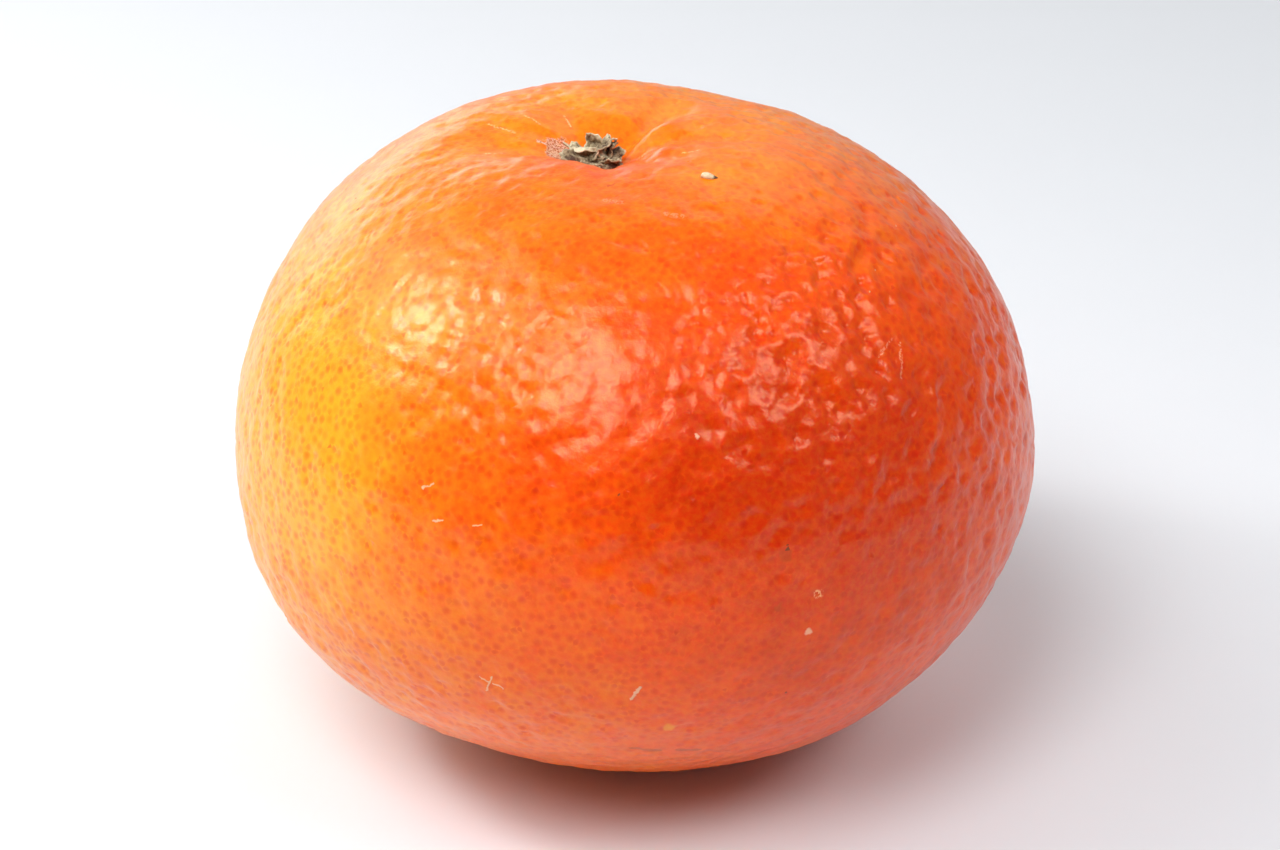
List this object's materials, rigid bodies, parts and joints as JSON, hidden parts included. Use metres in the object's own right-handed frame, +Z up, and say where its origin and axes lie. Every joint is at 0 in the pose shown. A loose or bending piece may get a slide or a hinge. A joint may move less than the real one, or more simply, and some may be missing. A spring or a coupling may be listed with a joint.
{
  "type": "mandarin",
  "caption": "Fresh whole mandarin, a slightly flattened orange citrus fruit with pitted peel and a dried calyx in the hollow of its stem end, resting on a small flat spot.",
  "frame": {"origin": "the surface that the fruit rests on, at the centre of the fruit's outline seen from above", "axes": "+Z up; +X to the fruit's right and -Y its front as seen in its reference view; the stem axis leans about 6 degrees from +Z towards -X"},
  "size_m": [0.0662, 0.0664, 0.0524],
  "materials": {
    "peel": "waxy ripe citrus peel, pitted with oil glands",
    "dried_calyx": "dry, crumpled and matt",
    "torn_stalk": "dry torn fibre, matt"
  },
  "bodies": {
    "root": {"fruit": "peel", "calyx": "dried_calyx", "stem_stump": "torn_stalk"}
  },
  "joints": []
}
